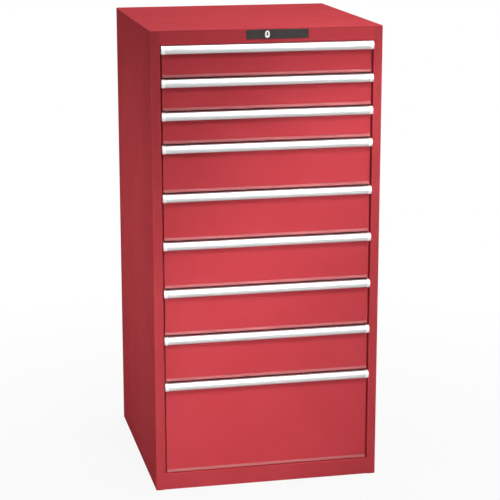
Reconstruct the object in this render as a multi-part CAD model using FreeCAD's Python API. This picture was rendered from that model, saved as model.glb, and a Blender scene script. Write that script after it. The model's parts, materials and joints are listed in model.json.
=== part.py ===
"""Workshop drawer cabinet: a folded steel housing with a column of fully extending drawers.

The origin is on the floor, under the middle of the housing. +X is to the right of someone
who faces the drawers, +Y goes back into the cabinet and +Z is up. All sizes are millimetres.
"""
import FreeCAD, Part
import math
import os

V = FreeCAD.Vector

# Housing
housing_width = 717.0
housing_depth = 725.0
base_height = 55.0
header_height = 45.0
front_heights = (100.0, 100.0, 100.0, 150.0, 150.0, 150.0, 150.0, 150.0, 300.0)
casing_sheet = 1.5
casing_bend = 2.0
stile_width = 28.5
stile_return = 22.0
rear_flange = 20.0
top_edge = 5.0
top_flange = 25.0
header_return = 25.0
header_lip = 10.0
floor_flange = 44.0
back_lift = 4.0

# Anchor holes in the base
anchor_radius = 6.5
anchor_spacing = 580.0
anchor_inset = 24.0

# Drawer fronts
front_setback = 4.0
front_side_gap = 6.0
front_sheet = 1.2
front_bend = 0.8
front_depth = 16.0
front_edge_round = 1.6
front_rear_flange = 26.0
front_foot = 18.0
lip_height = 9.0
lip_flare = 3.2
lip_curve = 7.0
lip_gap = 5.0

# Handles
handle_gap = 0.5
handle_height = 26.0
handle_reach = 14.5
handle_radius = 15.0
handle_crown = 14.0
handle_wall = 1.8
handle_web = 16.0
handle_cover = 14.0
handle_overhang = 4.0
end_cap_width = 11.0
end_cap_round = 1.5
label_thickness = 0.8
label_start = 1.6
label_height = 17.0
label_gap = 1.5

# Drawer trays
tray_sheet = 1.0
tray_corner = 3.0
tray_top_gap = 15.0
tray_rim_height = 9.0
tray_rim_width = 1.5
tray_rear_room = 88.0

# Slides
channel_sheet = 1.5
channel_bend = 0.6
slide_height = 22.0
drawer_channel_depth = 11.0
rail_depth = 11.5
rail_front_gap = 2.0
rail_rear_gap = 15.0
carriage_height = 40.0
carriage_sheet = 3.0
carriage_gap = 1.0
roller_radius = 11.0
roller_width = 8.0
roller_play = 0.3
roller_bore_play = 0.1
roller_end_play = 0.5
pin_radius = 3.0
roller_end_distance = 20.0
roller_stop_gap = 2.0

# Slotted uprights that carry the fixed rails
upright_width = 30.0
upright_depth = 22.5
upright_sheet = 2.0
upright_setback = 27.5
upright_rear_gap = 16.0
upright_top_gap = 26.0
slot_pitch = 50.0
slot_width = 5.0
slot_height = 12.0
hook_play = 0.5
hook_reach = 5.0

# Central lock
cover_left = -67.7
cover_width = 192.5
cover_height = 28.0
cover_sheet = 2.0
cover_round = 0.7
lock_x = -3.5
lock_drop = 19.0
lock_width = 16.5
lock_height = 24.0
lock_proud = 4.0
lock_length = 36.0
lock_hole_play = 0.1
plug_radius = 6.0
plug_rise = 1.5
plug_inset = 0.4
fit_play = 0.08
keyway_width = 2.2
keyway_height = 8.0
keyway_depth = 18.0
shaft_radius = 4.0
crank_thickness = 4.0
crank_radius = 8.5
crank_boss = 4.5
crank_pin_radius = 2.5
crank_pin_play = 0.6

# Locking bar and what guides it
bar_width = 24.0
bar_sheet = 3.0
bar_gap = 2.0
bar_play = 0.3
bar_floor_gap = 8.0
bar_crest = 4.5
catch_width = 20.0
catch_reach = 13.0
catch_lip = 12.5
catch_foot = 9.5
catch_rim_gap = 0.5
catch_sheet = 1.5
hook_width = 12.0
hook_tip = 2.7
hook_clearance = 1.0
hook_arm = 4.0
post_width = 50.0
post_flange = 20.0
guide_sheet = 1.5
guide_height = 10.0
guide_rise = 20.0
bracket_width = 36.0
bracket_drop = 24.0
bracket_flange = 12.0
bracket_sheet = 2.0

# Worked out from the sizes above
housing_height = base_height + sum(front_heights) + header_height
half_width = housing_width / 2.0
front_y = -housing_depth / 2.0
rear_y = housing_depth / 2.0
outer_bend = casing_bend + casing_sheet
opening_half = half_width - stile_width
wall_x = half_width - casing_sheet
header_z = housing_height - header_height
panel_y = front_y + front_setback
panel_half = opening_half - front_side_gap
rear_panel_y = rear_y - 2.0 * casing_sheet
slide_depth = drawer_channel_depth + 2.0 * carriage_gap + carriage_sheet + rail_depth
tray_front_y = panel_y + front_depth
tray_rear_y = rear_panel_y - tray_rear_room
tray_half = wall_x - upright_depth - slide_depth
tray_rise = lip_gap + front_sheet
drawer_travel = tray_rear_y - tray_front_y - 2.0 * tray_sheet
handle_half = panel_half + handle_overhang
grip_half = handle_half - end_cap_width
grip_centre_y = front_y - handle_reach + handle_radius

channel_inside = 2.0 * (roller_radius + roller_play)
channel_height = channel_inside + 2.0 * channel_sheet
slide_rise = tray_rise + slide_height
channel_tip_x = tray_half + drawer_channel_depth
carriage_x = channel_tip_x + carriage_gap
carriage_outer_x = carriage_x + carriage_sheet
rail_tip_x = carriage_outer_x + carriage_gap
rail_x = rail_tip_x + rail_depth
slide_front_y = front_y + stile_return + rail_front_gap
rail_rear_y = rear_panel_y - rail_rear_gap
carriage_length = tray_rear_y - slide_front_y
roller_spread = carriage_length - drawer_travel / 2.0 - 2.0 * roller_end_distance - roller_stop_gap

lock_z = housing_height - lock_drop
plug_z = lock_z + plug_rise
lock_front_y = front_y - lock_proud
lock_back_y = lock_front_y + lock_length
pin_throw = crank_radius * math.sqrt(0.5)
lock_lift = 2.0 * pin_throw
bar_x = lock_x - (crank_radius + pin_throw) / 2.0
catch_y = tray_rear_y + catch_reach
bar_front_y = catch_y + catch_sheet + crank_thickness
bar_rear_y = bar_front_y + bar_sheet
crank_y = bar_front_y - bar_gap - crank_thickness
post_y = bar_rear_y + bar_play
catch_drop = tray_top_gap + tray_rim_height + catch_rim_gap + catch_foot

TINY = 1e-6


def drawer_zones():
    """Number, bottom and top of each drawer's share of the front, from the top down."""
    zones = []
    top = header_z
    for number, height in enumerate(front_heights, start=1):
        zones.append((number, top - height, top))
        top -= height
    return zones


def box(x0, x1, y0, y1, z0, z1):
    """A block between two corners."""
    return Part.makeBox(x1 - x0, y1 - y0, z1 - z0, V(x0, y0, z0))


def mirrored(shape):
    """The same shape on the other side of the cabinet."""
    return shape.mirror(V(0, 0, 0), V(1, 0, 0))


def in_space(plane, point, level):
    """A drawn point in the cabinet: level is its place along the third axis."""
    if plane == "yz":
        return V(level, point.x, point.y)
    if plane == "xz":
        return V(point.x, level, point.y)
    return V(point.x, point.y, level)


def rounded_corner(before, corner, after, radius):
    """Start, middle and end of the arc that rounds a corner."""
    if radius < TINY:
        return [corner]
    back = (before - corner).normalize()
    ahead = (after - corner).normalize()
    half_angle = back.getAngle(ahead) / 2.0
    reach = radius / math.tan(half_angle)
    depth = radius / math.sin(half_angle) - radius
    inward = (back + ahead).normalize()
    return [corner + back * reach, corner + inward * depth, corner + ahead * reach]


def outline_face(plane, level, points, radii):
    """A flat face whose outline runs through the points, with each corner rounded."""
    count = len(points)
    corners = []
    for index, corner in enumerate(points):
        after = points[(index + 1) % count]
        corners.append(rounded_corner(points[index - 1], corner, after, radii[index]))
    edges = []
    for index, arc in enumerate(corners):
        if len(arc) == 3:
            edges.append(Part.Arc(*[in_space(plane, point, level) for point in arc]).toShape())
        start = arc[-1]
        end = corners[(index + 1) % count][0]
        if (end - start).Length > TINY:
            line = Part.LineSegment(in_space(plane, start, level), in_space(plane, end, level))
            edges.append(line.toShape())
    return Part.Face(Part.Wire(Part.__sortEdges__(edges)))


def extruded(plane, start, end, points, radii=None):
    """A solid between two levels, with an outline drawn in a plane."""
    drawn = [V(u, v, 0) for u, v in points]
    radii = radii or [0.0] * len(drawn)
    face = outline_face(plane, start, drawn, radii)
    return face.extrude(in_space(plane, V(0, 0, 0), end - start))


def folded_sheet(plane, start, end, points, sheet, bends, side):
    """Sheet metal bent along a line: the points are one surface, side is 1 for metal to the left.

    bends is the inside radius, one for all folds or one for each.
    """
    path = [V(u, v, 0) for u, v in points]
    folds = len(path) - 2
    inside = list(bends) if isinstance(bends, (list, tuple)) else [bends] * folds
    headings = [(path[i + 1] - path[i]).normalize() for i in range(len(path) - 1)]
    normals = [V(-heading.y, heading.x, 0) * side for heading in headings]
    offset = [path[0] + normals[0] * sheet]
    near_radii = [0.0]
    far_radii = [0.0]
    for index in range(folds):
        first = normals[index]
        second = normals[index + 1]
        shift = (first + second) * (sheet / (1.0 + first.dot(second)))
        offset.append(path[index + 1] + shift)
        turn = headings[index].cross(headings[index + 1]).z * side
        near_radii.append(inside[index] + (sheet if turn > 0 else 0.0))
        far_radii.append(inside[index] + (0.0 if turn > 0 else sheet))
    offset.append(path[-1] + normals[-1] * sheet)
    near_radii.append(0.0)
    far_radii.append(0.0)
    drawn = path + offset[::-1]
    face = outline_face(plane, start, drawn, near_radii + far_radii[::-1])
    return face.extrude(in_space(plane, V(0, 0, 0), end - start))


def rounded_block(x0, x1, y0, y1, z0, z1, radius, round_top):
    """A block with rounded upright edges and, where asked, a rounded top edge."""
    block = box(x0, x1, y0, y1, z0, z1)
    chosen = []
    for edge in block.Edges:
        bounds = edge.BoundBox
        upright = bounds.ZLength > TINY
        at_top = bounds.ZMin > z1 - TINY
        if upright or (round_top and at_top):
            chosen.append(edge)
    return block.makeFillet(radius, chosen)


def stadium(plane, start, end, centre, width, height):
    """A prism with straight sides and half-round ends, one above the other."""
    radius = width / 2.0
    u, v = centre
    points = [(u - radius, v - height / 2.0), (u + radius, v - height / 2.0),
              (u + radius, v + height / 2.0), (u - radius, v + height / 2.0)]
    return extruded(plane, start, end, points, [radius - 0.001] * 4)


def rod(centre_x, centre_z, radius, y0, y1):
    """A round bar along the cabinet's depth."""
    return Part.makeCylinder(radius, y1 - y0, V(centre_x, y0, centre_z), V(0, 1, 0))


def cross_rod(y, z, radius, x0, x1):
    """A round bar across the cabinet's width."""
    return Part.makeCylinder(radius, x1 - x0, V(x0, y, z), V(1, 0, 0))


def joined(first, *others):
    """One solid out of several that touch or cross."""
    return first.fuse(list(others)).removeSplitter()


def side_panel():
    """Left wall with the front post and the rear flange folded from the same sheet."""
    top = housing_height - top_edge
    profile = [(-opening_half, front_y + stile_return),
               (-opening_half, front_y),
               (-half_width, front_y),
               (-half_width, rear_y),
               (-half_width + rear_flange, rear_y)]
    panel = folded_sheet("xy", 0, top, profile, casing_sheet, casing_bend, -1)
    post_end = -opening_half - outer_bend
    reliefs = []
    for low, high in ((0.0, base_height), (header_z, top)):
        reliefs.append(box(post_end, -opening_half + 1, front_y - 1, front_y + stile_return + 1, low, high))
    return panel.cut(reliefs)


def back_panel():
    """Flat rear sheet inside the flanges of the side panels."""
    half = wall_x - casing_bend
    return box(-half, half, rear_panel_y, rear_y - casing_sheet, back_lift, housing_height - top_flange)


def top_panel():
    """Lid with rounded edges; its inner flange stands inside the walls."""
    top = housing_height
    lid = rounded_block(-half_width, half_width, front_y, rear_y, top - top_edge, top, outer_bend, True)
    hollow = rounded_block(-wall_x, wall_x, front_y + casing_sheet, rear_y - casing_sheet,
                           top - top_edge, top - casing_sheet, casing_bend, True)
    flange = rounded_block(-wall_x, wall_x, front_y + casing_sheet, rear_y - casing_sheet,
                           top - top_flange, top - casing_sheet, casing_bend, False)
    inner = 2.0 * casing_sheet
    core = box(inner - half_width, half_width - inner, front_y + inner, rear_y - inner,
               top - top_flange, top - casing_sheet)
    lid = joined(lid.cut(hollow), flange.cut(core))
    return lid.cut(lock_passage())


def header_rail():
    """Channel across the top of the opening, flush with the front posts."""
    half = opening_half + outer_bend
    rear = front_y + header_return
    profile = [(front_y, housing_height - top_edge), (front_y, header_z), (rear, header_z),
               (rear, header_z + header_lip)]
    rail = folded_sheet("yz", -half, half, profile, casing_sheet, casing_bend, 1)
    return rail.cut(lock_passage())


def base_panel():
    """Plinth front, raised floor and rear wall in one sheet, with flanges on the ground."""
    profile = [(front_y + floor_flange, 0.0), (front_y, 0.0), (front_y, base_height),
               (rear_panel_y, base_height), (rear_panel_y, 0.0), (rear_panel_y - floor_flange, 0.0)]
    base = folded_sheet("yz", -wall_x, wall_x, profile, casing_sheet, casing_bend, -1)
    front_edge = front_y + casing_sheet + casing_bend
    rear_edge = rear_y - casing_sheet - casing_bend
    cuts = []
    for side in (-1, 1):
        post = sorted((side * (opening_half + outer_bend), side * (wall_x + 1)))
        cuts.append(box(post[0], post[1], front_y - 1, front_edge, -1, base_height + 1))
        corner = sorted((side * (wall_x - casing_bend), side * (wall_x + 1)))
        cuts.append(box(corner[0], corner[1], rear_edge, rear_y, -1, base_height + 1))
        for y in (front_y + anchor_inset, -front_y - anchor_inset):
            place = V(side * anchor_spacing / 2.0, y, -1)
            cuts.append(Part.makeCylinder(anchor_radius, casing_sheet + 2, place))
    return base.cut(cuts)


def slotted_uprights():
    """Four channels on the side walls, slotted for the hooks of the rails."""
    start = front_y + upright_setback
    top = housing_height - upright_top_gap
    profile = [(wall_x, start), (rail_x, start), (rail_x, start + upright_width),
               (wall_x, start + upright_width)]
    upright = folded_sheet("xy", base_height, top, profile, upright_sheet, channel_bend, -1)
    middle = start + upright_width / 2.0
    slots = []
    centre = base_height + slide_rise
    while centre + slot_height < top:
        slots.append(box(rail_x - 1, rail_x + upright_sheet + 1, middle - slot_width / 2.0,
                         middle + slot_width / 2.0, centre - slot_height / 2.0,
                         centre + slot_height / 2.0))
        centre += slot_pitch
    front = upright.cut(slots)
    rear = front.copy()
    rear.translate(V(0, rear_upright_shift(), 0))
    return [front, rear, mirrored(front), mirrored(rear)]


def rear_upright_shift():
    """How far the rear uprights stand behind the front ones."""
    rear_start = rear_panel_y - upright_rear_gap - upright_width
    return rear_start - (front_y + upright_setback)


def fixed_rail(bottom):
    """Right-hand channel that an outer pair of rollers runs in, hooked into both uprights."""
    centre = bottom + slide_rise
    half = channel_height / 2.0
    profile = [(rail_tip_x, centre + half), (rail_x, centre + half), (rail_x, centre - half),
               (rail_tip_x, centre - half)]
    rail = folded_sheet("xz", slide_front_y, rail_rear_y, profile, channel_sheet, channel_bend, -1)
    middle = front_y + upright_setback + upright_width / 2.0
    reach = slot_width / 2.0 - hook_play
    rise = slot_height / 2.0 - hook_play
    hooks = []
    for y in (middle, middle + rear_upright_shift()):
        hooks.append(box(rail_x - channel_sheet, rail_x + hook_reach, y - reach, y + reach,
                         centre - rise, centre + rise))
    return joined(rail, *hooks)


def drawer_tray(bottom, top):
    """Open sheet box with a rim, a slide channel on each side and a catch for the locking bar."""
    low = bottom + tray_rise
    high = top - tray_top_gap
    outer = rounded_block(-tray_half, tray_half, tray_front_y, tray_rear_y, low, high, tray_corner, False)
    inner = rounded_block(-tray_half + tray_sheet, tray_half - tray_sheet, tray_front_y + tray_sheet,
                          tray_rear_y - tray_sheet, low + tray_sheet, high, tray_corner - tray_sheet, False)
    rim = rounded_block(-tray_half - tray_rim_width, tray_half + tray_rim_width, tray_front_y,
                        tray_rear_y + tray_rim_width, high - tray_rim_height, high, tray_corner, False)
    tray = joined(outer, rim).cut(inner)
    centre = bottom + slide_rise
    half = channel_height / 2.0
    profile = [(channel_tip_x, centre + half), (tray_half, centre + half), (tray_half, centre - half),
               (channel_tip_x, centre - half)]
    channel = folded_sheet("xz", tray_front_y, tray_rear_y, profile, channel_sheet, channel_bend, 1)
    plate_z = top - catch_drop
    catch_path = [(tray_rear_y, plate_z + catch_foot), (tray_rear_y, plate_z), (catch_y, plate_z),
                  (catch_y, plate_z - catch_lip)]
    catch = folded_sheet("yz", bar_x - catch_width / 2.0, bar_x + catch_width / 2.0, catch_path,
                         catch_sheet, front_bend, 1)
    return [tray, channel, mirrored(channel), catch]


def front_profile(bottom, top, inset):
    """Side outline of a drawer front, moved inwards by inset."""
    high = top - handle_gap - handle_wall
    return [(tray_front_y - inset, high - inset), (panel_y + inset, high - inset),
            (panel_y + inset, bottom + lip_gap + lip_height),
            (panel_y - lip_flare + 1.2 * inset, bottom + lip_gap + inset),
            (tray_front_y - inset, bottom + lip_gap + inset)]


def drawer_front(bottom, top):
    """Hollow steel front with a flared bottom lip, and the foot that carries the tray."""
    corner = front_bend + front_sheet
    solid = extruded("yz", -panel_half, panel_half, front_profile(bottom, top, 0.0),
                     [0.0, corner, lip_curve, front_bend, 0.0])
    ends = []
    for edge in solid.Edges:
        bounds = edge.BoundBox
        at_end = bounds.XLength < TINY
        in_front = bounds.YMax < tray_front_y - TINY
        if at_end and in_front:
            ends.append(edge)
    solid = solid.makeFillet(front_edge_round, ends)
    hollow_half = panel_half - front_sheet
    hollow = extruded("yz", -hollow_half, hollow_half, front_profile(bottom, top, front_sheet),
                      [0.0, front_bend, lip_curve + front_sheet, 0.0, 0.0])
    window = box(-hollow_half, hollow_half, tray_front_y - front_sheet - 1, tray_front_y + 1,
                 bottom + lip_gap + front_sheet, top - handle_gap - handle_wall - front_rear_flange)
    foot_half = tray_half - tray_corner
    foot = box(-foot_half, foot_half, tray_front_y - front_sheet, tray_front_y + front_foot,
               bottom + lip_gap, bottom + lip_gap + front_sheet)
    return joined(solid.cut([hollow, window]), foot)


def grip_point(top, radius, rise):
    """Point of the handle's round at a height above its crown, for a concentric radius."""
    crown_z = top - handle_gap - handle_crown
    return V(grip_centre_y - math.sqrt(radius * radius - rise * rise), crown_z + rise, 0)


def grip_arc(level, top, radius, start, end):
    """Edge along the handle's round between two heights from its crown."""
    points = [grip_point(top, radius, start)]
    first = math.asin(start / radius)
    last = math.asin(end / radius)
    points.append(grip_point(top, radius, radius * math.sin((first + last) / 2.0)))
    points.append(grip_point(top, radius, end))
    return Part.Arc(*[in_space("yz", point, level) for point in points]).toShape()


def grip_solid(start, end, pieces):
    """Prism across the cabinet from arcs, and from the points of the straight edges between."""
    edges = []
    last = None
    first = None
    for piece in pieces:
        if isinstance(piece, tuple):
            point = V(start, piece[0], piece[1])
            begin = point
        else:
            begin = piece.valueAt(piece.FirstParameter)
            point = piece.valueAt(piece.LastParameter)
        if last is not None and (begin - last).Length > TINY:
            edges.append(Part.LineSegment(last, begin).toShape())
        if not isinstance(piece, tuple):
            edges.append(piece)
        first = first or begin
        last = point
    if (first - last).Length > TINY:
        edges.append(Part.LineSegment(last, first).toShape())
    face = Part.Face(Part.Wire(Part.__sortEdges__(edges)))
    return face.extrude(V(end - start, 0, 0))


def drawer_handle(top):
    """Extruded grip across the drawer: round outside, open below, with a seat for the label."""
    level = -grip_half
    high = top - handle_gap
    above = handle_crown
    below = handle_crown - handle_height
    label_top = handle_crown - label_start
    label_low = label_top - label_height
    seat = handle_radius - label_thickness
    inner = handle_radius - handle_wall
    web_front = panel_y - handle_wall
    pieces = [grip_arc(level, top, handle_radius, above, label_top),
              grip_arc(level, top, seat, label_top, label_low),
              grip_arc(level, top, handle_radius, label_low, below),
              grip_arc(level, top, inner, below, above - handle_wall),
              (web_front, high - handle_wall), (web_front, high - handle_web),
              (panel_y, high - handle_web), (panel_y, high - handle_wall),
              (panel_y + handle_cover, high - handle_wall), (panel_y + handle_cover, high)]
    return grip_solid(level, grip_half, pieces)


def handle_trim(top):
    """Two moulded end caps and the clear label cover of one handle."""
    high = top - handle_gap
    below = handle_crown - handle_height
    pieces = [grip_arc(grip_half, top, handle_radius, handle_crown, below),
              (panel_y, high - handle_height), (panel_y, high)]
    cap = grip_solid(grip_half, handle_half, pieces)
    rim = []
    for edge in cap.Edges:
        bounds = edge.BoundBox
        if bounds.XMin > handle_half - TINY and bounds.YMin < panel_y - TINY:
            rim.append(edge)
    cap = cap.makeFillet(end_cap_round, rim)
    label_top = handle_crown - label_start
    label_low = label_top - label_height
    start = label_gap - grip_half
    outer = grip_arc(start, top, handle_radius, label_top, label_low)
    inner = grip_arc(start, top, handle_radius - label_thickness, label_low, label_top)
    label = grip_solid(start, -start, [outer, inner])
    return [cap, mirrored(cap), label]


def slide_carriage(bottom):
    """Plates that run between the drawer and the housing, with two pairs of rollers on each."""
    centre = bottom + slide_rise
    half = carriage_height / 2.0
    plate = box(carriage_x, carriage_outer_x, slide_front_y, tray_rear_y, centre - half, centre + half)
    rollers = []
    first_inner = slide_front_y + roller_end_distance
    first_outer = tray_rear_y - roller_end_distance
    inner_web = tray_half + channel_sheet
    outer_web = rail_x - channel_sheet
    for step in (0, 1):
        y = first_inner + step * roller_spread
        head = inner_web + roller_end_play
        plate = joined(plate, cross_rod(y, centre, pin_radius, head, carriage_x))
        rollers.append(roller(y, centre, head, head + roller_width))
        y = first_outer - step * roller_spread
        head = outer_web - roller_end_play
        plate = joined(plate, cross_rod(y, centre, pin_radius, carriage_outer_x, head))
        rollers.append(roller(y, centre, head - roller_width, head))
    right = [plate] + rollers
    return right + [mirrored(piece) for piece in right]


def roller(y, z, x0, x1):
    """One bored steel roller."""
    bore = cross_rod(y, z, pin_radius + roller_bore_play, x0 - 1, x1 + 1)
    return cross_rod(y, z, roller_radius, x0, x1).cut(bore)


def lock_passage():
    """Room that the lock's body takes in the sheets it passes through."""
    width = lock_width + 2.0 * lock_hole_play
    height = lock_height + 2.0 * lock_hole_play
    return stadium("xz", lock_front_y, lock_back_y, (lock_x, lock_z), width, height)


def lock_cover():
    """Dark plate around the lock, on the header."""
    high = housing_height - top_edge
    plate = box(cover_left, cover_left + cover_width, front_y - cover_sheet, front_y,
                high - cover_height, high)
    rim = [edge for edge in plate.Edges if edge.BoundBox.YMax < front_y - cover_sheet + TINY]
    return plate.makeFillet(cover_round, rim).cut(lock_passage())


def lock_cylinder():
    """Oval lock body that stands out of the cover."""
    body = stadium("xz", lock_front_y, lock_back_y, (lock_x, lock_z), lock_width, lock_height)
    front = [edge for edge in body.Edges if edge.BoundBox.YMax < lock_front_y + TINY]
    body = body.makeFillet(cover_round, front)
    return body.cut(rod(lock_x, plug_z, plug_radius + fit_play, lock_front_y - 1, lock_back_y + 1))


def lock_plug():
    """Round plug with the keyway, upright when the cabinet is unlocked."""
    face = lock_front_y + plug_inset
    plug = rod(lock_x, plug_z, plug_radius, face, lock_back_y)
    return plug.cut(box(lock_x - keyway_width / 2.0, lock_x + keyway_width / 2.0, face - 1,
                        face + keyway_depth, plug_z - keyway_height / 2.0,
                        plug_z + keyway_height / 2.0))


def lock_shaft():
    """Bar from the plug to the back of the cabinet, with the crank that lifts the locking bar."""
    shaft = rod(lock_x, plug_z, shaft_radius, lock_back_y, crank_y + crank_thickness)
    pin_x = lock_x - pin_throw
    pin_z = plug_z - pin_throw
    crank = joined(rod(lock_x, plug_z, crank_boss + crank_pin_radius, crank_y, crank_y + crank_thickness),
                   rod(pin_x, pin_z, crank_boss, crank_y, crank_y + crank_thickness),
                   rod(pin_x, pin_z, crank_pin_radius, crank_y, bar_rear_y))
    return joined(shaft, crank)


def locking_bar():
    """Upright bar with a slot for the crank's pin, and a hook on it below each drawer's catch."""
    pin_z = plug_z - pin_throw
    slot_half = crank_pin_radius + crank_pin_play
    slot_reach = (crank_radius - pin_throw) / 2.0 + slot_half
    half = bar_width / 2.0
    top = pin_z + slot_half + bar_crest
    bar = box(bar_x - half, bar_x + half, bar_front_y, bar_rear_y, base_height + bar_floor_gap, top)
    hooks = []
    for number, bottom, zone_top in drawer_zones():
        tip_top = zone_top - catch_drop - catch_lip - hook_clearance
        arm_top = tip_top - lock_lift
        tip_rear = catch_y - hook_clearance
        arm = box(bar_x - hook_width / 2.0, bar_x + hook_width / 2.0, tip_rear - hook_tip, bar_front_y,
                  arm_top - hook_arm, arm_top)
        tip = box(bar_x - hook_width / 2.0, bar_x + hook_width / 2.0, tip_rear - hook_tip, tip_rear,
                  arm_top - hook_arm, tip_top)
        hooks.append(joined(arm, tip))
    slot = box(bar_x - slot_reach, bar_x + slot_reach, bar_front_y - 1, bar_rear_y + 1,
               pin_z - slot_half, pin_z + slot_half)
    return [bar.cut(slot)] + hooks


def lock_guides():
    """Post on the back panel, clips that hold the bar to it, and bearings for the shaft."""
    half = post_width / 2.0
    inside_y = post_y + guide_sheet
    path = [(bar_x - half - post_flange, rear_panel_y), (bar_x - half, rear_panel_y),
            (bar_x - half, inside_y), (bar_x + half, inside_y),
            (bar_x + half, rear_panel_y), (bar_x + half + post_flange, rear_panel_y)]
    post = folded_sheet("xy", base_height, housing_height - upright_top_gap, path, guide_sheet,
                        channel_bend, -1)
    solids = [post]
    inner = bar_width / 2.0 + bar_play
    outer = inner + guide_sheet
    front = bar_front_y - bar_play - guide_sheet
    for number, bottom, top in drawer_zones()[1::3]:
        low = bottom + guide_rise
        clip = box(bar_x - outer, bar_x + outer, front, post_y, low, low + guide_height)
        room = box(bar_x - inner, bar_x + inner, front + guide_sheet, post_y, low, low + guide_height)
        solids.append(clip.cut(room))
    ceiling = housing_height - casing_sheet
    for y in (lock_back_y + bracket_flange, crank_y - 2.0 * bracket_flange):
        path = [(y, ceiling - bracket_drop), (y, ceiling), (y + bracket_flange, ceiling)]
        bearing = folded_sheet("yz", lock_x - bracket_width / 2.0, lock_x + bracket_width / 2.0, path,
                               bracket_sheet, channel_bend, -1)
        solids.append(bearing.cut(rod(lock_x, plug_z, shaft_radius + fit_play, y - 1, y + bracket_sheet + 1)))
    return solids


def write_node(name, solids):
    """Save one named sub-part, of one solid or of several."""
    pieces = solids if isinstance(solids, list) else [solids]
    shape = pieces[0] if len(pieces) == 1 else Part.makeCompound(pieces)
    for piece in pieces:
        if not piece.isValid() or len(piece.Solids) != 1:
            print("check", name, piece.isValid(), len(piece.Solids))
    shape.exportStep("parts/" + name + ".step")


def main():
    """Build every sub-part and save it."""
    os.makedirs("parts", exist_ok=True)
    left = side_panel()
    write_node("left_side_panel", left)
    write_node("right_side_panel", mirrored(left))
    write_node("back_panel", back_panel())
    write_node("top_panel", top_panel())
    write_node("header_rail", header_rail())
    write_node("base_panel", base_panel())
    write_node("slotted_uprights", slotted_uprights())
    rails = [fixed_rail(bottom) for number, bottom, top in drawer_zones()]
    write_node("fixed_rails_right", rails)
    write_node("fixed_rails_left", [mirrored(rail) for rail in rails])
    write_node("lock_cover", lock_cover())
    write_node("lock_cylinder", lock_cylinder())
    write_node("lock_plug", lock_plug())
    write_node("lock_shaft", lock_shaft())
    write_node("locking_bar", locking_bar())
    write_node("lock_guides", lock_guides())
    for number, bottom, top in drawer_zones():
        write_node(f"drawer_{number}_tray", drawer_tray(bottom, top))
        write_node(f"drawer_{number}_front", drawer_front(bottom, top))
        write_node(f"drawer_{number}_handle", drawer_handle(top))
        write_node(f"drawer_{number}_handle_trim", handle_trim(top))
        write_node(f"slide_carriage_{number}", slide_carriage(bottom))


main()
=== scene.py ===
"""Looks of the workshop drawer cabinet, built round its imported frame. Lengths are in metres."""
import bmesh
import bpy
import json
import math
from mathutils import Matrix, Vector


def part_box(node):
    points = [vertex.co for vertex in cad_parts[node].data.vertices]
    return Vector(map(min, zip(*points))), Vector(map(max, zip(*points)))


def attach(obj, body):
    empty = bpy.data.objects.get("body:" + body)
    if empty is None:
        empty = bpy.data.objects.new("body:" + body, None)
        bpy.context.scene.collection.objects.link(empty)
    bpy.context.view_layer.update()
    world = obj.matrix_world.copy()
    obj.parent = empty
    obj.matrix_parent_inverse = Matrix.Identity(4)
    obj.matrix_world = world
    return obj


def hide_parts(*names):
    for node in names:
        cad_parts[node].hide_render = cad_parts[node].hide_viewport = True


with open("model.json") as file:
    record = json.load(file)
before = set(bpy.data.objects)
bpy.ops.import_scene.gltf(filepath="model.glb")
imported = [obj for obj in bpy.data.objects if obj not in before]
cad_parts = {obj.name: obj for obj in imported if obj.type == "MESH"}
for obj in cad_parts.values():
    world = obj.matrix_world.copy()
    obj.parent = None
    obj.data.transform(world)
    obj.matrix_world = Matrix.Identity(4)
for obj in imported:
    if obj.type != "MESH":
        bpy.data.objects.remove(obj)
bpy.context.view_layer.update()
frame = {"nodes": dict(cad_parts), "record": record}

MM = 0.001
BODY_OF = {node: body for body, nodes in frame["record"]["behaviour"]["bodies"].items()
           for node in nodes}
DRAWERS = range(1, 10)

# Camera: its place, its turn to the right of straight back, its tilt below level, and its lens
CAMERA_PLACE = (-1.134, -5.280, 1.996)
CAMERA_TURN = 12.36
CAMERA_TILT = 13.72
CAMERA_LENS = 120.8

# Noise of the materials: most of it lies between these two values
NOISE_LOW = 0.35
NOISE_HIGH = 0.65

# Copies of the frame's shapes: corners this close are one, and so are faces within this many degrees
SAME_CORNER = 0.002 * MM
SAME_FACE = 0.2

# Edges that turn by more than this many degrees stay sharp, or are rounded by these widths
SHARP_BEND = 30.0
SHEET_ROUNDING = 0.25 * MM
MOULDED_ROUNDING = 0.2 * MM
CAST_ROUNDING = 0.15 * MM

# A face counts as a bend where its direction follows no axis by more than this share
FLAT_SHARE = 0.97

# Parts shorter than this are end caps or rollers
SMALL_PART = 100.0 * MM

# Corners of an outline: rounded from this turn in degrees, over this share of a side at most
EASED_TURN = 25.0
EASED_SHARE = 0.45
EASED_STEPS = 3

# Handle profile, as arcs about one centre that lies this far behind its foremost line
GRIP_RADIUS = 15.0 * MM
GRIP_WALL = 1.8 * MM
GRIP_CROWN = 14.0 * MM
GRIP_HEIGHT = 26.0 * MM
GRIP_WEB = 16.0 * MM
GRIP_WEB_SETBACK = 16.7 * MM
GRIP_EDGE = 0.35 * MM

# Seat in the face of the grip, and the label strip that lies in it
SEAT_DEPTH = 0.8 * MM
LABEL_START = 1.6 * MM
LABEL_HEIGHT = 17.0 * MM
LABEL_PLAY = 0.15 * MM
LABEL_GAP = 1.5 * MM
LABEL_EDGE = 0.25 * MM
LABEL_STEPS = 14

# Flared lip along the foot of each drawer front, and how far it hangs below its solid
LIP_HEIGHT = 12.0 * MM
LIP_DROP = 2.0 * MM

# Strip folded back from each front post, behind the gap beside the drawers
RETURN_OUTER = 330.0 * MM
RETURN_INNER = 325.2 * MM
RETURN_FRONT = 15.0 * MM
RETURN_SHEET = 1.0 * MM

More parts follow.
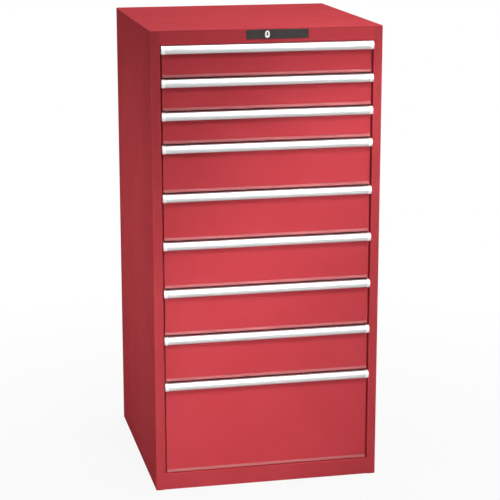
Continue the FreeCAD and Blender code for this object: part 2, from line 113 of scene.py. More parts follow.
# Drawer trays: sheet, round corners, hemmed rim, rows of slots and the seams that close up
TRAY_SHEET = 1.0 * MM
TRAY_CORNER = 3.0 * MM
CORNER_STEPS = 5
HEM_HEIGHT = 9.0 * MM
HEM_WIDTH = 1.5 * MM
HEM_STEPS = 6
SLOT_COLUMNS = 36
SLOT_ROW_HEIGHT = 30.0 * MM
SLOT_WIDTH = 3.0 * MM
SLOT_HEIGHT = 12.0 * MM
CELL_SEAM = 0.01 * MM

# Keyway of the plug: two round lobes, one above the other
LOBE_RADIUS = 2.7 * MM
LOBE_SPREAD = 4.9 * MM
LOBE_STEPS = 24
KEYWAY_DEPTH = 12.0 * MM

# Face of the lock body: the share of its size that its rim keeps, clear of the plug's bore
RIM_DEPTH = 0.8 * MM
RIM_SHARE = 0.88
BORE_REACH = 7.0 * MM

# Dark ring round the lock body, painted shade at its edge: flat over a share of its width, lower at its
# outer edge
SHADE_RING_WIDTH = 2.4 * MM
SHADE_RING_RISE = 0.4 * MM
SHADE_RING_FLAT = 0.7
SHADE_RING_SHOULDER = 0.4
SHADE_RING_STEPS = 16

# Strength of the even light that reaches the object from all round
AMBIENT = 0.22

# Floor: its half width and its play under the base. Within FLOOR_PALE of its middle it shows this
# share of plain white over its own shade, and from FLOOR_WHITE on it shows nothing but white
FLOOR_REACH = 45.0
FLOOR_DROP = 0.2 * MM
FLOOR_PALE = 0.5
FLOOR_WHITE = 2.0
FLOOR_SHARE = 0.9


# Materials

def linear(code):
    """Linear colour with full alpha from an sRGB hex code."""
    parts = [int(code[i:i + 2], 16) / 255 for i in (1, 3, 5)]
    return [p / 12.92 if p <= 0.04045 else ((p + 0.055) / 1.055) ** 2.4 for p in parts] + [1.0]


def add(tree, kind, values=None, links=None, **settings):
    """One node, with its settings, the values of its sockets and the links into them."""
    node = tree.nodes.new(kind)
    for name, value in settings.items():
        setattr(node, name, value)
    for socket, value in (values or {}).items():
        node.inputs[socket].default_value = value
    for socket, source in (links or {}).items():
        tree.links.new(source, node.inputs[socket])
    return node


def new_material(name, colour, roughness, metallic=0.0, **surface):
    """A material, its node tree and its principled shader."""
    made = bpy.data.materials.new(name)
    made.use_nodes = True
    tree = made.node_tree
    shader = tree.nodes["Principled BSDF"]
    shader.inputs["Base Color"].default_value = linear(colour)
    shader.inputs["Roughness"].default_value = roughness
    shader.inputs["Metallic"].default_value = metallic
    for socket, value in surface.items():
        shader.inputs[socket.replace("_", " ")].default_value = value
    made.diffuse_color = linear(colour)
    return made, tree, shader


def pattern(tree, size, detail=2.0, stretch=(1.0, 1.0, 1.0)):
    """Noise whose features are about this size, longer along an axis where stretch is below 1."""
    place = add(tree, "ShaderNodeTexCoord")
    turned = add(tree, "ShaderNodeMapping", {"Scale": stretch}, {"Vector": place.outputs["Object"]})
    noise = add(tree, "ShaderNodeTexNoise", {"Scale": 1.0 / size, "Detail": detail},
                {"Vector": turned.outputs["Vector"]})
    return noise.outputs["Fac"]


def vary_colour(tree, shader, source, first, second):
    """Colour that drifts between two shades."""
    ramp = add(tree, "ShaderNodeValToRGB", links={"Fac": source})
    ends = ramp.color_ramp.elements
    for end, position, code in ((ends[0], NOISE_LOW, first), (ends[1], NOISE_HIGH, second)):
        end.position = position
        end.color = linear(code)
    tree.links.new(ramp.outputs["Color"], shader.inputs["Base Color"])


def vary_roughness(tree, shader, source, low, high):
    """Roughness that drifts between two values."""
    spread = add(tree, "ShaderNodeMapRange", {"To Min": low, "To Max": high}, {"Value": source})
    tree.links.new(spread.outputs["Result"], shader.inputs["Roughness"])


def relief(tree, shader, source, height):
    """Bumps of this height on the surface."""
    bump = add(tree, "ShaderNodeBump", {"Strength": 1.0, "Distance": height}, {"Height": source})
    tree.links.new(bump.outputs["Normal"], shader.inputs["Normal"])


def orange_peel(tree, shader):
    """The faint waves that melted powder sets in, a little over a millimetre across."""
    relief(tree, shader, pattern(tree, 1.4 * MM), 0.012 * MM)


def red_powder_coat():
    """Polyester powder sprayed and baked on steel: an even matt red with a faint orange peel."""
    made, tree, shader = new_material("red_powder_coat", "#D6474F", 0.8, Specular_IOR_Level=0.15)
    vary_colour(tree, shader, pattern(tree, 180 * MM, 3.0), "#D4454E", "#D84952")
    vary_roughness(tree, shader, pattern(tree, 40 * MM), 0.76, 0.84)
    orange_peel(tree, shader)
    return made


def deep_powder_coat():
    """The same red a shade deeper on the sheets of the housing: painted shade, darker than the fronts
    because of how light falls.
    """
    made, tree, shader = new_material("deep_powder_coat", "#C9494F", 0.85, Specular_IOR_Level=0.0)
    vary_colour(tree, shader, pattern(tree, 180 * MM, 3.0), "#C7474E", "#CB4B51")
    vary_roughness(tree, shader, pattern(tree, 40 * MM), 0.76, 0.84)
    orange_peel(tree, shader)
    return made


def thin_powder_coat():
    """The same red made paler along folded edges and lips: a painted highlight where the bends face the
    light.
    """
    made, tree, shader = new_material("thin_powder_coat", "#C9696B", 0.6)
    vary_colour(tree, shader, pattern(tree, 60 * MM, 3.0), "#C66568", "#CD6E70")
    orange_peel(tree, shader)
    return made


def grey_powder_coat():
    """Fine-grained powder on the drawer sheets: satin light grey."""
    made, tree, shader = new_material("grey_powder_coat", "#C4C7C8", 0.48)
    vary_colour(tree, shader, pattern(tree, 120 * MM), "#C1C4C5", "#C7CACB")
    relief(tree, shader, pattern(tree, 0.9 * MM), 0.015 * MM)
    return made


def zinc_plated_steel():
    """Rolled steel with bright zinc: cool grey with cloudy gloss."""
    made, tree, shader = new_material("zinc_plated_steel", "#B4B8BC", 0.36, 1.0)
    cloud = pattern(tree, 12 * MM, 4.0)
    vary_colour(tree, shader, cloud, "#ABB0B4", "#BEC1C3")
    vary_roughness(tree, shader, cloud, 0.28, 0.44)
    return made


def turned_steel():
    """Turned and polished rollers: darker and smoother than the plated plates."""
    made, tree, shader = new_material("turned_steel", "#8E9194", 0.24, 1.0)
    vary_roughness(tree, shader, pattern(tree, 2 * MM), 0.2, 0.3)
    return made


def anodised_aluminium():
    """Extruded, etched and anodised: satin silver with faint lines along the bar."""
    made, tree, shader = new_material("anodised_aluminium", "#C8C9CA", 0.4, 1.0)
    lines = pattern(tree, 0.8 * MM, 3.0, (0.004, 1.0, 1.0))
    vary_colour(tree, shader, lines, "#C5C6C7", "#CBCCCD")
    vary_roughness(tree, shader, lines, 0.3, 0.4)
    relief(tree, shader, lines, 0.008 * MM)
    return made


def covered_label():
    """Silvered white film behind a clear extruded strip: bright from every side, glassy on top."""
    made, tree, shader = new_material("covered_label", "#D8D9D9", 0.3, 0.75, Coat_Weight=1.0,
                                      Coat_Roughness=0.08)
    vary_colour(tree, shader, pattern(tree, 60 * MM), "#D6D7D7", "#DADBDB")
    return made


def pale_moulded_plastic():
    """Injection-moulded end caps with pearl pigment: near white, smooth, with a mirror-like sheen."""
    made, tree, shader = new_material("pale_moulded_plastic", "#F6F7F6", 0.32, 0.6)
    vary_colour(tree, shader, pattern(tree, 30 * MM), "#F4F5F4", "#F8F9F8")
    relief(tree, shader, pattern(tree, 0.5 * MM), 0.006 * MM)
    return made


def dark_moulded_plastic():
    """Injection-moulded cover with a spark-eroded grain: charcoal, dull."""
    made, tree, shader = new_material("dark_moulded_plastic", "#4C4847", 0.8,
                                      Specular_IOR_Level=0.25)
    vary_colour(tree, shader, pattern(tree, 25 * MM), "#4A4645", "#4F4B4A")
    relief(tree, shader, pattern(tree, 0.7 * MM), 0.03 * MM)
    return made


def nickel_plated_brass():
    """Cast, ground and nickel-plated lock parts: pale, warm, softly polished."""
    made, tree, shader = new_material("nickel_plated_brass", "#EAE8E5", 0.3, 1.0)
    vary_roughness(tree, shader, pattern(tree, 3 * MM, 3.0), 0.26, 0.36)
    return made


def keyway_shadow():
    """Painted shadow in the lock's bore and on the dark ring round the lock body: nearly black, without
    sheen.
    """
    made, tree, shader = new_material("keyway_shadow", "#0E0D0D", 0.6)
    vary_roughness(tree, shader, pattern(tree, 1 * MM), 0.5, 0.7)
    return made


FINISH = {make.__name__: make() for make in (
    red_powder_coat, deep_powder_coat, thin_powder_coat, grey_powder_coat, zinc_plated_steel,
    turned_steel, anodised_aluminium, covered_label, pale_moulded_plastic, dark_moulded_plastic,
    nickel_plated_brass, keyway_shadow)}


# From a shape to a mounted piece

def piece_from(work, name, finishes):
    """An object at the origin from a bmesh, with these materials in order."""
    mesh = bpy.data.meshes.new(name)
    work.to_mesh(mesh)
    work.free()
    for finish in finishes:
        mesh.materials.append(FINISH[finish])
    made = bpy.data.objects.new(name, mesh)
    bpy.context.scene.collection.objects.link(made)
    return made


def settle(made, rounding=0.0):
    """Rounds the sharp edges, shades the bends smooth and keeps the flats flat, in the mesh itself."""
    for face in made.data.polygons:
        face.use_smooth = True
    made.data.set_sharp_from_angle(angle=math.radians(SHARP_BEND))
    if rounding:
        edges = made.modifiers.new("edges", "BEVEL")
        edges.width = rounding
        edges.segments = 2
        edges.limit_method = "ANGLE"
        edges.angle_limit = math.radians(SHARP_BEND)
    flats = made.modifiers.new("flats", "WEIGHTED_NORMAL")
    flats.keep_sharp = not rounding
    shaped = made.evaluated_get(bpy.context.evaluated_depsgraph_get())
    mesh = bpy.data.meshes.new_from_object(shaped)
    made.modifiers.clear()
    mesh.name = made.name
    made.data = mesh
    return made


def mount(made, body, slot, *nodes):
    """Lets a piece ride on its body and stand for its nodes; its slot is not used."""
    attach(made, body)
    if nodes:
        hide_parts(*nodes)


def node_shape(node):
    """The node's shape with its corners joined and its flat faces whole."""
    work = bmesh.new()
    work.from_mesh(frame["nodes"][node].data)
    for face in work.faces:
        face.material_index = 0
    bmesh.ops.remove_doubles(work, verts=work.verts, dist=SAME_CORNER)
    bmesh.ops.dissolve_limit(work, angle_limit=math.radians(SAME_FACE), verts=work.verts,
                             edges=work.edges)
    return work


def middle_of(node):
    """The middle of the node's box."""
    low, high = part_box(node)
    return (low + high) / 2


def loose_parts(work):
    """The separate solids of a shape, each as its faces."""
    left = set(work.faces)
    parts = []
    while left:
        queue = [left.pop()]
        part = []
        while queue:
            face = queue.pop()
            part.append(face)
            for edge in face.edges:
                for other in edge.link_faces:
                    if other in left:
                        left.remove(other)
                        queue.append(other)
        parts.append(part)
    return parts


def box_of(faces):
    """The lowest and the highest corner of the box round some faces."""
    corners = [vert.co for face in faces for vert in face.verts]
    low = Vector([min(corner[axis] for corner in corners) for axis in range(3)])
    high = Vector([max(corner[axis] for corner in corners) for axis in range(3)])
    return low, high


def span(faces):
    """How far some faces reach along each axis."""
    low, high = box_of(faces)
    return high - low


def finished_node(node, slot, rounding=0.0):
    """A smooth copy of a node that takes its place."""
    made = piece_from(node_shape(node), node + "_finished", [slot])
    mount(settle(made, rounding), BODY_OF[node], slot, node)


def painted(node, paint, highlight_paint, lip=False):
    """A painted sheet with a lighter paint on its slanting and bent faces, a painted highlight; a lip at
    its foot hangs low.
    """
    work = node_shape(node)
    if lip:
        foot = min(vert.co.z for vert in work.verts)
        for vert in work.verts:
            if vert.co.z - foot < LIP_HEIGHT:
                vert.co.z -= LIP_DROP
    for face in work.faces:
        # Slanting and bent faces take the second, lighter paint: a painted highlight
        if max(abs(part) for part in face.normal) < FLAT_SHARE:
            face.material_index = 1
    made = piece_from(work, node + "_finished", [paint, highlight_paint])
    mount(settle(made, SHEET_ROUNDING), BODY_OF[node], "red_powder_coat", node)


# Outlines and swept shapes

def skin(work, ring, after):
    """The faces between two closed rings of as many corners."""
    faces = []
    for index in range(len(ring)):
        beside = (index + 1) % len(ring)
        faces.append(work.faces.new((ring[index], ring[beside], after[beside], after[index])))
    return faces


def arc(centre, radius, first, last, steps):
    """Points of an arc in the y-z plane, from the heights of its ends above the centre."""
    start = math.asin(first / radius)
    end = math.asin(last / radius)
    points = []
    for step in range(steps + 1):
        angle = start + (end - start) * step / steps
        points.append((centre[0] - radius * math.cos(angle), centre[1] + radius * math.sin(angle)))
    return points


def eased(points, radius):
    """A closed outline whose sharp corners are rounded."""
    smooth = []
    count = len(points)
    for index, corner in enumerate(points):
        here = Vector(corner)
        back = Vector(points[index - 1]) - here
        ahead = Vector(points[(index + 1) % count]) - here
        turn = math.degrees(math.pi - back.angle(ahead))
        if turn < EASED_TURN:
            smooth.append(here)
            continue
        reach = min(radius, back.length * EASED_SHARE, ahead.length * EASED_SHARE)
        start = here + back.normalized() * reach
        end = here + ahead.normalized() * reach
        for step in range(EASED_STEPS + 1):
            t = step / EASED_STEPS
            smooth.append(start * (1 - t) ** 2 + here * 2 * t * (1 - t) + end * t ** 2)
    return smooth


def bar_along_x(work, outline, left, right):
    """A closed bar across the cabinet with this outline in the y-z plane."""
    rings = [[work.verts.new((x, point[0], point[1])) for point in outline] for x in (left, right)]
    skin(work, *rings)
    work.faces.new(rings[0][::-1])
    work.faces.new(rings[1])
    bmesh.ops.recalc_face_normals(work, faces=work.faces)


def rounded_square(half, radius, steps):
    """Points of a square with round corners about the origin, each with its outward direction."""
    points = []
    for corner in range(4):
        turn = Matrix.Rotation(corner * math.pi / 2, 2)
        middle = turn @ Vector((half - radius, half - radius))
        for step in range(steps + 1):
            angle = (corner + step / steps) * math.pi / 2
            out = Vector((math.cos(angle), math.sin(angle)))
            points.append((middle + out * radius, out))
    return points


def swept(work, path, section, centre, closed):
    """A section of (outward, height) points carried along a path, which closes or has two ends."""
    rings = []
    for base, out in path:
        ring = []
        for reach, height in section:
            flat = base + out * reach
            ring.append(work.verts.new((centre.x + flat.x, centre.y + flat.y, height)))
        rings.append(ring)
    if closed:
        rings.append(rings[0])
    else:
        work.faces.new(rings[0])
        work.faces.new(rings[-1][::-1])
    for ring, after in zip(rings, rings[1:]):
        skin(work, after, ring)


def floor_plate(work, path, low, high, centre):
    """A flat plate with this outline between two heights."""
    bottom, top = [[work.verts.new((centre.x + base.x, centre.y + base.y, height))
                    for base, out in path] for height in (low, high)]
    work.faces.new(bottom[::-1])
    work.faces.new(top)
    skin(work, bottom, top)


# Housing

def post_returns():
    """The strips that close the gaps between the front posts and the drawers."""
    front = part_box("left_side_panel")[0].y + RETURN_FRONT
    back = front + RETURN_SHEET
    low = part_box("base_panel")[1].z
    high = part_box("header_rail")[0].z
    outline = [(front, low), (front, high), (back, high), (back, low)]
    work = bmesh.new()
    bar_along_x(work, outline, -RETURN_OUTER, -RETURN_INNER)
    bar_along_x(work, outline, RETURN_INNER, RETURN_OUTER)
    made = piece_from(work, "post_returns", ["red_powder_coat"])
    mount(settle(made), "housing", "red_powder_coat")


def housing():
    """Folded and painted sheets of the housing, and the plated steel inside it."""
    # Flat faces take the darker red, painted shade; bent faces take the lighter red, a painted highlight
    for node in ("left_side_panel", "right_side_panel", "back_panel", "top_panel", "base_panel"):
        painted(node, "deep_powder_coat", "red_powder_coat")
    # The header takes the fronts' lighter red instead of the housing's darker one: painted light, as it
    # is lit more
    painted("header_rail", "red_powder_coat", "red_powder_coat")
    post_returns()
    for node in ("slotted_uprights", "fixed_rails_left", "fixed_rails_right", "lock_guides",
                 "locking_bar", "lock_shaft"):
        finished_node(node, "zinc_plated_steel")


# Drawers

def handle(number):
    """Extruded grip with its label seat, and the covered label strip that lies in it."""
    body = f"drawer_{number}"
    low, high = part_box(body + "_handle")
    centre = (low.y + GRIP_RADIUS, high.z - GRIP_CROWN)
    below = GRIP_CROWN - GRIP_HEIGHT
    seat = GRIP_RADIUS - SEAT_DEPTH
    seat_top = GRIP_CROWN - LABEL_START
    seat_low = seat_top - LABEL_HEIGHT
    web_front = low.y + GRIP_WEB_SETBACK
    web_back = web_front + GRIP_WALL
    web_low = high.z - GRIP_WEB
    under = high.z - GRIP_WALL
    outline = arc(centre, GRIP_RADIUS, GRIP_CROWN, seat_top, 3)
    outline += arc(centre, seat, seat_top, seat_low, LABEL_STEPS)
    outline += arc(centre, GRIP_RADIUS, seat_low, below, 10)
    outline += arc(centre, GRIP_RADIUS - GRIP_WALL, below, GRIP_CROWN - GRIP_WALL, 20)
    outline += [(web_front, under), (web_front, web_low), (web_back, web_low),
                (web_back, under), (high.y, under), (high.y, high.z)]
    work = bmesh.new()
    bar_along_x(work, eased(outline, GRIP_EDGE), low.x, high.x)
    made = piece_from(work, body + "_grip", ["anodised_aluminium"])
    mount(settle(made), body, "anodised_aluminium", body + "_handle")

    half = high.x - LABEL_GAP
    top = seat_top - LABEL_PLAY
    bottom = seat_low + LABEL_PLAY
    strip = arc(centre, GRIP_RADIUS - LABEL_PLAY, top, bottom, LABEL_STEPS)
    strip += arc(centre, seat, bottom, top, LABEL_STEPS)
    work = bmesh.new()
    bar_along_x(work, eased(strip, LABEL_EDGE), -half, half)
    made = piece_from(work, body + "_label_strip", ["covered_label"])
    mount(settle(made), body, "pale_moulded_plastic", body + "_handle_trim")


def end_caps(number):
    """Two moulded caps on the ends of a grip."""
    body = f"drawer_{number}"
    work = node_shape(body + "_handle_trim")
    cover = [face for part in loose_parts(work) if span(part).x > SMALL_PART for face in part]
    bmesh.ops.delete(work, geom=cover, context="FACES")
    made = piece_from(work, body + "_end_caps", ["pale_moulded_plastic"])
    mount(settle(made, MOULDED_ROUNDING), body, "pale_moulded_plastic", body + "_handle_trim")


def slotted_walls():
    """Node tree for four slotted walls round a square: cells with a slot each, repeated."""
    tree = bpy.data.node_groups.new("slotted_walls", "GeometryNodeTree")
    sockets = tree.interface
    sockets.new_socket("Geometry", in_out="INPUT", socket_type="NodeSocketGeometry")
    for name, kind in (("Columns", "Int"), ("Rows", "Int"), ("Cell Width", "Float"),
                       ("Cell Height", "Float"), ("Slot Width", "Float"), ("Slot Height", "Float"),
                       ("Sheet", "Float"), ("Wall Place", "Vector"), ("Centre", "Vector"),
                       ("Material", "Material")):
        sockets.new_socket(name, in_out="INPUT", socket_type="NodeSocket" + kind)
    sockets.new_socket("Geometry", in_out="OUTPUT", socket_type="NodeSocketGeometry")
    given = add(tree, "NodeGroupInput").outputs

    # A cell is three by three faces without the middle one, which is number 4 of 0 to 8
    cell = add(tree, "GeometryNodeMeshGrid",
               {"Size X": 2.0, "Size Y": 2.0, "Vertices X": 4, "Vertices Y": 4})
    number = add(tree, "GeometryNodeInputIndex")
    middle = add(tree, "FunctionNodeCompare", {3: 4}, {2: number.outputs[0]}, data_type="INT",
                 operation="EQUAL")
    holed = add(tree, "GeometryNodeDeleteGeometry",
                links={"Geometry": cell.outputs["Mesh"], "Selection": middle.outputs[0]}, domain="FACE")
    where = add(tree, "ShaderNodeSeparateXYZ",
                links={0: add(tree, "GeometryNodeInputPosition").outputs[0]})

    # Its corners, at 1/3 and 1 from the middle, go to the edges of the slot and of the cell
    corner = {}
    grid = {"Vertices X": given["Columns"], "Vertices Y": given["Rows"]}
    for axis, count, outer, slot in (("X", "Columns", "Cell Width", "Slot Width"),
                                     ("Y", "Rows", "Cell Height", "Slot Height")):
        side = add(tree, "ShaderNodeMath", links={0: where.outputs[axis]}, operation="SIGN")
        reach = add(tree, "ShaderNodeMath", links={0: where.outputs[axis]}, operation="ABSOLUTE")
        size = add(tree, "ShaderNodeMapRange", {"From Min": 1 / 3, "From Max": 1.0},
                   {"Value": reach.outputs[0], "To Min": given[slot], "To Max": given[outer]})
        half = add(tree, "ShaderNodeMath", {1: 0.5}, {0: size.outputs[0]}, operation="MULTIPLY")
        place = add(tree, "ShaderNodeMath", links={0: side.outputs[0], 1: half.outputs[0]},
                    operation="MULTIPLY")
        corner[axis] = place.outputs[0]
        steps = add(tree, "ShaderNodeMath", {1: 1.0}, {0: given[count]}, operation="SUBTRACT")
        across = add(tree, "ShaderNodeMath", links={0: steps.outputs[0], 1: given[outer]},
                     operation="MULTIPLY")
        grid["Size " + axis] = across.outputs[0]
    moved = add(tree, "ShaderNodeCombineXYZ", links=corner)
    shaped = add(tree, "GeometryNodeSetPosition",
                 links={"Geometry": holed.outputs[0], "Position": moved.outputs[0]})

    # The cells side by side make a wall, which is stood up and given its thickness
    spots = add(tree, "GeometryNodeMeshGrid", links=grid)
    spread = add(tree, "GeometryNodeInstanceOnPoints",
                 links={"Points": spots.outputs["Mesh"], "Instance": shaped.outputs[0]})
    sheet = add(tree, "GeometryNodeRealizeInstances", links={"Geometry": spread.outputs[0]})
    whole = add(tree, "GeometryNodeMergeByDistance", {"Distance": CELL_SEAM},
                {"Geometry": sheet.outputs[0]})
    upright = add(tree, "GeometryNodeTransform", {"Rotation": (math.pi / 2, 0.0, 0.0)},
                  {"Geometry": whole.outputs[0], "Translation": given["Wall Place"]})
    thick = add(tree, "GeometryNodeExtrudeMesh", {"Individual": False},
                {"Mesh": upright.outputs[0], "Offset Scale": given["Sheet"]}, mode="FACES")
    inner = add(tree, "GeometryNodeFlipFaces", links={"Mesh": upright.outputs[0]})
    wall = add(tree, "GeometryNodeJoinGeometry", links={"Geometry": thick.outputs["Mesh"]})
    tree.links.new(inner.outputs[0], wall.inputs["Geometry"])
    closed = add(tree, "GeometryNodeMergeByDistance", {"Distance": CELL_SEAM},
                 {"Geometry": wall.outputs[0]})

    # Four walls, each a quarter turn on from the last
    sides = add(tree, "GeometryNodeMeshLine", {"Count": 4, "Offset": (0.0, 0.0, 0.0)})
    angle = add(tree, "ShaderNodeMath", {1: math.pi / 2}, {0: number.outputs[0]}, operation="MULTIPLY")
    turn = add(tree, "ShaderNodeCombineXYZ", links={"Z": angle.outputs[0]})
    four = add(tree, "GeometryNodeInstanceOnPoints", links={
        "Points": sides.outputs["Mesh"], "Instance": closed.outputs[0], "Rotation": turn.outputs[0]})
    placed = add(tree, "GeometryNodeTransform",
                 links={"Geometry": four.outputs[0], "Translation": given["Centre"]})
    solid = add(tree, "GeometryNodeRealizeInstances", links={"Geometry": placed.outputs[0]})
    coated = add(tree, "GeometryNodeSetMaterial",
                 links={"Geometry": solid.outputs[0], "Material": given["Material"]})
    add(tree, "NodeGroupOutput", links={0: coated.outputs[0]})
    return tree


def grown(tree, name, **sizes):
    """The plain mesh that a node tree makes with these sizes."""
    seed = bpy.data.objects.new(name, bpy.data.meshes.new(name))
    bpy.context.scene.collection.objects.link(seed)
    maker = seed.modifiers.new("maker", "NODES")
    maker.node_group = tree
    for item in tree.interface.items_tree:
        key = item.name.replace(" ", "_").lower()
        if item.in_out == "INPUT" and key in sizes:
            maker[item.identifier] = sizes[key]
    shaped = seed.evaluated_get(bpy.context.evaluated_depsgraph_get())
    mesh = bpy.data.meshes.new_from_object(shaped)
    bpy.data.objects.remove(seed)
    return mesh


def tray(number, tree):
    """Sheet box of one drawer: slotted walls, floor, round corners and a hemmed rim."""
    body = f"drawer_{number}"
    node = body + "_tray"
    work = node_shape(node)
    shell = max(loose_parts(work), key=lambda part: span(part).x)
    low, high = box_of(shell)
    half = high.x - HEM_WIDTH
    centre = Vector((0.0, low.y + half, 0.0))
    bmesh.ops.delete(work, geom=shell, context="FACES")
    made = piece_from(work, body + "_runners", ["zinc_plated_steel"])
    mount(settle(made), body, "zinc_plated_steel", node)

    wall_low = low.z + TRAY_SHEET
    wall_high = high.z - HEM_HEIGHT / 2
    rows = max(2, int((wall_high - wall_low) / SLOT_ROW_HEIGHT))
    walls = grown(tree, body + "_walls", columns=SLOT_COLUMNS, rows=rows,
                  cell_width=2 * (half - TRAY_CORNER) / SLOT_COLUMNS,
                  cell_height=(wall_high - wall_low) / rows,
                  slot_width=SLOT_WIDTH, slot_height=SLOT_HEIGHT, sheet=TRAY_SHEET,
                  wall_place=(0.0, TRAY_SHEET - half, 0.0),
                  centre=(0.0, centre.y, (wall_low + wall_high) / 2),
                  material=FINISH["grey_powder_coat"])
    work = bmesh.new()
    work.from_mesh(walls)
    bpy.data.meshes.remove(walls)
    path = rounded_square(half, TRAY_CORNER, CORNER_STEPS)
    curl = (HEM_WIDTH + TRAY_SHEET) / 2
    hem = [(-TRAY_SHEET, high.z - HEM_HEIGHT), (HEM_WIDTH, high.z - HEM_HEIGHT)]
    for step in range(HEM_STEPS + 1):
        angle = math.pi * step / HEM_STEPS
        hem.append((curl - TRAY_SHEET + curl * math.cos(angle), high.z - curl * (1 - math.sin(angle))))
    swept(work, path, hem, centre, closed=True)
    fold = [(-TRAY_SHEET, wall_low), (0.0, wall_low), (0.0, wall_high), (-TRAY_SHEET, wall_high)]
    for first in range(0, len(path), CORNER_STEPS + 1):
        swept(work, path[first:first + CORNER_STEPS + 1], fold, centre, closed=False)
    floor_plate(work, path, low.z, wall_low, centre)
    made = piece_from(work, body + "_box", ["grey_powder_coat"])
    mount(settle(made), body, "grey_powder_coat", node)


def carriage(number):
    """Two plated slide plates with their pins, and their turned rollers."""
    node = f"slide_carriage_{number}"
    work = node_shape(node)
    for part in loose_parts(work):
        if span(part).y < SMALL_PART:
            for face in part:
                face.material_index = 1
    made = piece_from(work, node + "_finished", ["zinc_plated_steel", "turned_steel"])
    mount(settle(made), f"carriage_{number}", "zinc_plated_steel", node)


def drawers():
    """Nine drawers, each with its front, grip, caps, tray and slides."""
    tree = slotted_walls()
    for number in DRAWERS:
        # Bends and lips of each front take a paler red: a painted highlight
        painted(f"drawer_{number}_front", "red_powder_coat", "thin_powder_coat", lip=True)
        handle(number)
        end_caps(number)
        tray(number, tree)
        carriage(number)


# Central lock

def lock_body():
    """Oval body that narrows towards its face, round a bore that stays as wide as it is."""
    work = node_shape("lock_cylinder")
    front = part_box("lock_cylinder")[0].y
    middle = middle_of("lock_cylinder")
    axis = middle_of("lock_plug")
    for vert in work.verts:
        off = vert.co - axis
        if vert.co.y - front < RIM_DEPTH and math.hypot(off.x, off.z) > BORE_REACH:
            vert.co.x = middle.x + (vert.co.x - middle.x) * RIM_SHARE
            vert.co.z = middle.z + (vert.co.z - middle.z) * RIM_SHARE
    made = piece_from(work, "lock_cylinder_finished", ["nickel_plated_brass"])
    mount(settle(made, CAST_ROUNDING), BODY_OF["lock_cylinder"], "nickel_plated_brass", "lock_cylinder")


def keyway():
    """Outline of two round lobes, one above the other, about the origin, in the x-z plane."""
    waist = math.acos(LOBE_SPREAD / 2 / LOBE_RADIUS)
    points = []
    for side in (1, -1):
        for step in range(LOBE_STEPS + 1):
            angle = (waist - math.pi / 2) + (2 * math.pi - 2 * waist) * step / LOBE_STEPS
            points.append((side * LOBE_RADIUS * math.cos(angle),
                           side * (LOBE_SPREAD / 2 + LOBE_RADIUS * math.sin(angle))))
    return points


def plug():
    """Round plug whose face is cut by the keyway."""
    low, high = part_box("lock_plug")
    middle = middle_of("lock_plug")
    radius = (high.x - low.x) / 2
    hole = keyway()
    rim = [(radius * math.cos(angle), radius * math.sin(angle))
           for angle in [math.atan2(z, x) for x, z in hole]]
    work = bmesh.new()
    rings = []
    for outline, y in ((hole, low.y + KEYWAY_DEPTH), (hole, low.y), (rim, low.y), (rim, high.y)):
        rings.append([work.verts.new((middle.x + x, y, middle.z + z)) for x, z in outline])
    bore = skin(work, rings[0], rings[1])
    bore.append(work.faces.new(rings[0]))
    # The bore's faces are painted near black: painted shade in the keyway
    for face in bore:
        face.material_index = 1
    skin(work, rings[1], rings[2])
    skin(work, rings[2], rings[3])
    work.faces.new(rings[3][::-1])
    bmesh.ops.recalc_face_normals(work, faces=work.faces)
    made = piece_from(work, "lock_plug_cut", ["nickel_plated_brass", "keyway_shadow"])
    mount(settle(made), "lock_barrel", "nickel_plated_brass", "lock_plug")


def shade_ring():
    """Black ring between the oval body and its cover: painted shade round the lock."""
    low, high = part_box("lock_cylinder")
    middle = middle_of("lock_cylinder")
    half = (high.x - low.x) / 2
    rise = (high.z - low.z) / 2 - half
    path = []
    for turn, lift in ((0.0, rise), (math.pi, -rise)):
        for step in range(SHADE_RING_STEPS + 1):
            angle = turn + math.pi * step / SHADE_RING_STEPS
            path.append((math.cos(angle), math.sin(angle), lift))
    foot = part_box("lock_cover")[0].y
    crest = foot - SHADE_RING_RISE
    shoulder = foot - SHADE_RING_RISE * SHADE_RING_SHOULDER
    outer = half + SHADE_RING_WIDTH
    work = bmesh.new()
    rings = []
    for reach, y in ((half, foot), (half, crest), (half + SHADE_RING_WIDTH * SHADE_RING_FLAT, crest),
                     (outer, shoulder), (outer, foot)):
        rings.append([work.verts.new((middle.x + reach * x, y, middle.z + lift + reach * z))
                      for x, z, lift in path])
    rings.append(rings[0])
    for ring, after in zip(rings, rings[1:]):
        skin(work, ring, after)
    bmesh.ops.recalc_face_normals(work, faces=work.faces)
    made = piece_from(work, "lock_seal", ["keyway_shadow"])
    mount(settle(made), "housing", "dark_moulded_plastic")


def lock():
    """Cover, oval body and plug of the central lock, with a dark ring of painted shade round the body.
    """
    finished_node("lock_cover", "dark_moulded_plastic", MOULDED_ROUNDING)
    lock_body()
    plug()
    shade_ring()


# Camera, light and floor

def camera():
    """The camera at the photograph's viewing angle."""
    data = bpy.data.cameras.new("camera")
    data.lens = CAMERA_LENS
    data.clip_end = 100.0
    made = bpy.data.objects.new("camera", data)
    made.location = CAMERA_PLACE
    made.rotation_euler = (math.radians(90.0 - CAMERA_TILT), 0.0, math.radians(-CAMERA_TURN))
    bpy.context.scene.collection.objects.link(made)
    bpy.context.scene.camera = made


def lamp(name, place, target, size, power, spread=180.0, tall=None):
    """A soft rectangular lamp that points at a target; a grid narrows its spread, in degrees."""
    data = bpy.data.lights.new(name, "AREA")
    data.shape = "RECTANGLE"
    data.size = size
    data.size_y = tall or size
    data.energy = power
    data.spread = math.radians(spread)
    made = bpy.data.objects.new(name, data)
    made.location = place
    aim = Vector(target) - Vector(place)
    made.rotation_euler = aim.to_track_quat("-Z", "Y").to_euler()
    bpy.context.scene.collection.objects.link(made)


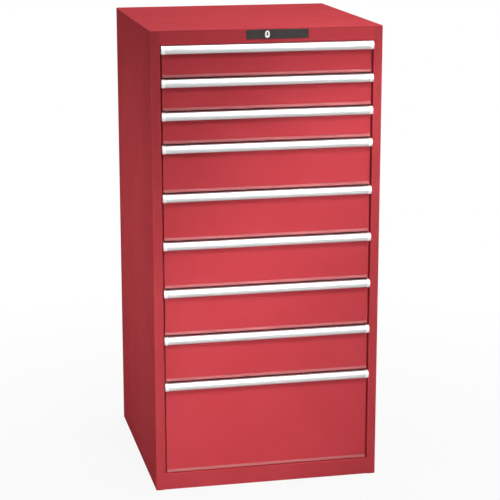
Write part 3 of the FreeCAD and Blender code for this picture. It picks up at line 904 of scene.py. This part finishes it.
def seen_directly(tree):
    """1 where a camera, a mirror or glass looks at the surface, and 0 for its soft light."""
    path = add(tree, "ShaderNodeLightPath")
    total = path.outputs["Is Camera Ray"]
    for kind in ("Is Glossy Ray", "Is Transmission Ray"):
        both = add(tree, "ShaderNodeMath", links={0: total, 1: path.outputs[kind]}, operation="MAXIMUM")
        total = both.outputs[0]
    return total


def surroundings():
    """White all round where it is seen, and a weaker even light on the object."""
    world = bpy.data.worlds.new("surroundings")
    world.use_nodes = True
    tree = world.node_tree
    strength = add(tree, "ShaderNodeMapRange", {"To Min": AMBIENT, "To Max": 1.0},
                   {"Value": seen_directly(tree)})
    light = tree.nodes["Background"]
    light.inputs["Color"].default_value = (1.0, 1.0, 1.0, 1.0)
    tree.links.new(strength.outputs["Result"], light.inputs["Strength"])
    bpy.context.scene.world = world


def lights():
    """Plain soft light: gridded lamps for the front and the left side, open lamps all round."""
    front = -0.36
    # Each target on the front has a lamp in front of it and a taller one high above it
    for name, target, level, steep, powers in (
            ("high", (0.36, front, 1.42), (1.8, -4.2, 2.2), (1.2, -2.7, 4.5), (0.26, 0.36)),
            ("centre", (0.15, front, 0.72), (0.9, -4.4, 1.9), (0.7, -3.0, 4.1), (0.55, 1.22)),
            ("low", (-0.36, front, 0.15), (-0.4, -4.6, 1.2), (-0.4, -3.2, 3.7), (0.58, 0.94))):
        lamp(name + "_level", level, target, 0.8, powers[0], 20.0)
        lamp(name + "_steep", steep, target, 0.8, powers[1], 20.0, tall=1.2)
    for step, power in enumerate((0.15, 0.04, 0.05, 0.06)):
        place = (1.6 - 0.36 * step, -4.3, 2.2 - 0.15 * step)
        target = (0.33 - 0.19 * step, front, 1.2 - 0.2 * step)
        lamp(f"diagonal_{step}", place, target, 0.35, power, 9.0)
    middle = (0.0, 0.0, 0.75)
    lamp("left_side", (-3.0, -0.2, 0.9), (-0.36, 0.0, 0.8), 0.8, 1.35, 40.0)
    lamp("before", (0.0, -4.5, 0.5), (0.0, 0.0, 0.5), 1.4, 1.5)
    lamp("above", (0.4, 0.2, 4.6), middle, 2.6, 67.0)
    lamp("right_side", (4.8, 0.8, 2.0), middle, 2.2, 90.0)
    lamp("behind", (0.8, 5.0, 0.9), (0.0, 0.36, 0.8), 2.6, 110.0, tall=1.0)


def floor():
    """Wide pale floor that looks white and keeps a soft shadow."""
    mesh = bpy.data.meshes.new("floor")
    corners = [(x * FLOOR_REACH, y * FLOOR_REACH, -FLOOR_DROP)
               for x, y in ((-1, -1), (1, -1), (1, 1), (-1, 1))]
    mesh.from_pydata(corners, [], [(0, 1, 2, 3)])
    material = bpy.data.materials.new("pale_floor")
    material.use_nodes = True
    tree = material.node_tree
    tree.nodes.clear()
    matt = add(tree, "ShaderNodeBsdfDiffuse", {"Color": linear("#DADADA")})
    glow = add(tree, "ShaderNodeEmission", {"Color": (1.0, 1.0, 1.0, 1.0), "Strength": 1.0})
    place = add(tree, "ShaderNodeTexCoord")
    away = add(tree, "ShaderNodeVectorMath", links={0: place.outputs["Object"]}, operation="LENGTH")
    white = add(tree, "ShaderNodeMapRange",
                {"From Min": FLOOR_PALE, "From Max": FLOOR_WHITE, "To Min": FLOOR_SHARE, "To Max": 1.0},
                {"Value": away.outputs["Value"]})
    share = add(tree, "ShaderNodeMath", links={0: seen_directly(tree), 1: white.outputs["Result"]},
                operation="MULTIPLY")
    mix = add(tree, "ShaderNodeMixShader",
              links={"Fac": share.outputs[0], 1: matt.outputs[0], 2: glow.outputs[0]})
    add(tree, "ShaderNodeOutputMaterial", links={"Surface": mix.outputs[0]})
    mesh.materials.append(material)
    made = bpy.data.objects.new("floor", mesh)
    bpy.context.scene.collection.objects.link(made)


bpy.context.scene.view_settings.view_transform = "Standard"
camera()
housing()
drawers()
lock()
lights()
surroundings()
floor()
